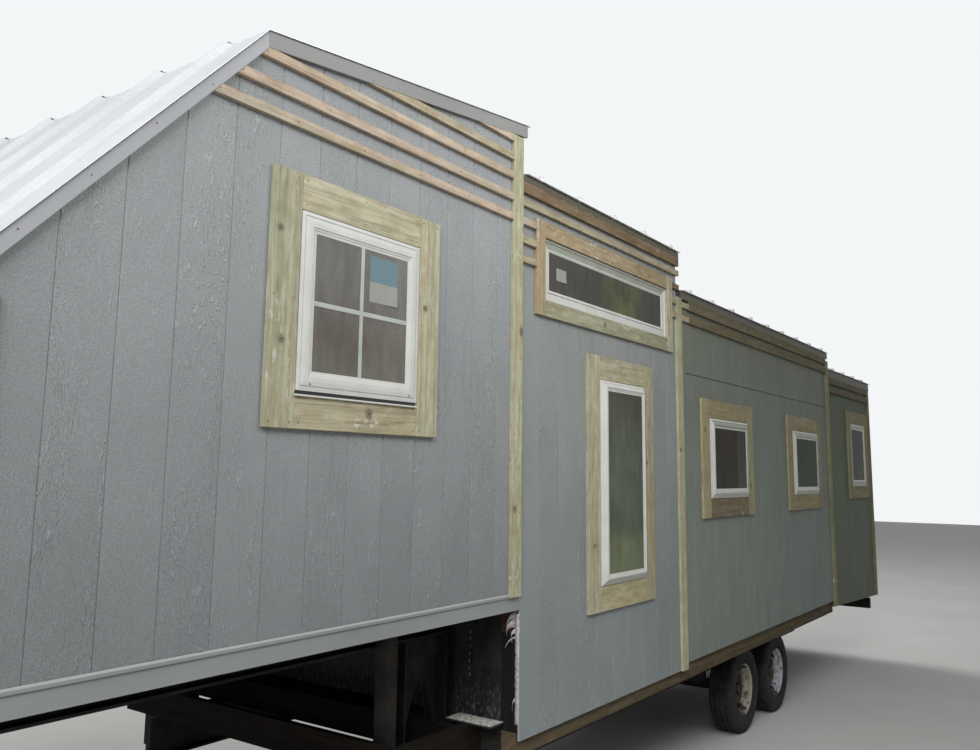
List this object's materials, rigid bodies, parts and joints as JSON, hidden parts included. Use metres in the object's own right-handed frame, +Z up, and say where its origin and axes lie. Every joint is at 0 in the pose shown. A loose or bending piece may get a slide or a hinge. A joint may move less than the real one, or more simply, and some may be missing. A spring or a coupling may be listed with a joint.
{
  "type": "tiny house on wheels",
  "caption": "Gooseneck trailer house with grooved painted siding, stepped ribbed metal roofs, board window trims, landing jacks and tandem axles.",
  "frame": {"origin": "on the ground, under the middle of the whole house's box", "axes": "+X to the rear of the trailer, +Y to its right side, +Z up"},
  "size_m": [10.64, 2.626, 4.0113],
  "materials": {
    "siding": "grey-blue painted grooved panel siding",
    "painted_trim": "painted board",
    "treated_pine": "rough treated board",
    "furring": "rough sawn batten",
    "weathered_timber": "weathered timber",
    "sheathing": "bare sheathing board",
    "felt": "black building felt over board",
    "roof_metal": "galvanised ribbed sheet",
    "vinyl": "white vinyl",
    "glass": "window glass",
    "door_paint": "painted door leaf",
    "black_steel": "dull black paint",
    "wheel_steel": "white painted steel",
    "tyre": "dusty black rubber"
  },
  "bodies": {
    "house": {"axles": "black_steel", "battens": "furring", "corner_boards": "treated_pine", "coupler": "black_steel", "crossmembers": "black_steel", "entry_door": "door_paint", "fascia_boards": "painted_trim", "front_platform": "weathered_timber", "front_roof_sheets": "roof_metal", "gooseneck_floor": "sheathing", "gooseneck_roof_sheets": "roof_metal", "gooseneck_skirt": "painted_trim", "landing_jacks": "black_steel", "leaf_springs": "black_steel", "left_wall_front": "siding", "left_wall_gooseneck": "siding", "left_wall_middle": "siding", "left_wall_rear": "siding", "lower_front_wall": "felt", "main_floor": "sheathing", "main_rails": "black_steel", "middle_roof_sheets": "roof_metal", "neck_beams": "black_steel", "neck_risers": "black_steel", "nose_wall": "siding", "rear_roof_sheets": "roof_metal", "rear_wall": "siding", "right_wall_front": "siding", "right_wall_gooseneck": "siding", "right_wall_middle": "siding", "right_wall_rear": "siding", "rim_beams": "weathered_timber", "roof_decks": "sheathing", "roof_flashings": "roof_metal", "step_walls": "siding", "window_frames": "vinyl", "window_glass": "glass", "window_trims": "treated_pine"},
    "wheel_left_front": {"rim_left_front": "wheel_steel", "tyre_left_front": "tyre"},
    "wheel_left_rear": {"rim_left_rear": "wheel_steel", "tyre_left_rear": "tyre"},
    "wheel_right_front": {"rim_right_front": "wheel_steel", "tyre_right_front": "tyre"},
    "wheel_right_rear": {"rim_right_rear": "wheel_steel", "tyre_right_rear": "tyre"}
  },
  "joints": [
    {"name": "wheel_left_front_spin", "type": "hinge", "parent": "house", "child": "wheel_left_front", "pos_m": [1.21, -0.97, 0.345], "axis": [0, 1, 0], "continuous": true},
    {"name": "wheel_left_rear_spin", "type": "hinge", "parent": "house", "child": "wheel_left_rear", "pos_m": [2.053, -0.97, 0.345], "axis": [0, 1, 0], "continuous": true},
    {"name": "wheel_right_front_spin", "type": "hinge", "parent": "house", "child": "wheel_right_front", "pos_m": [1.21, 0.97, 0.345], "axis": [0, 1, 0], "continuous": true},
    {"name": "wheel_right_rear_spin", "type": "hinge", "parent": "house", "child": "wheel_right_rear", "pos_m": [2.053, 0.97, 0.345], "axis": [0, 1, 0], "continuous": true}
  ]
}
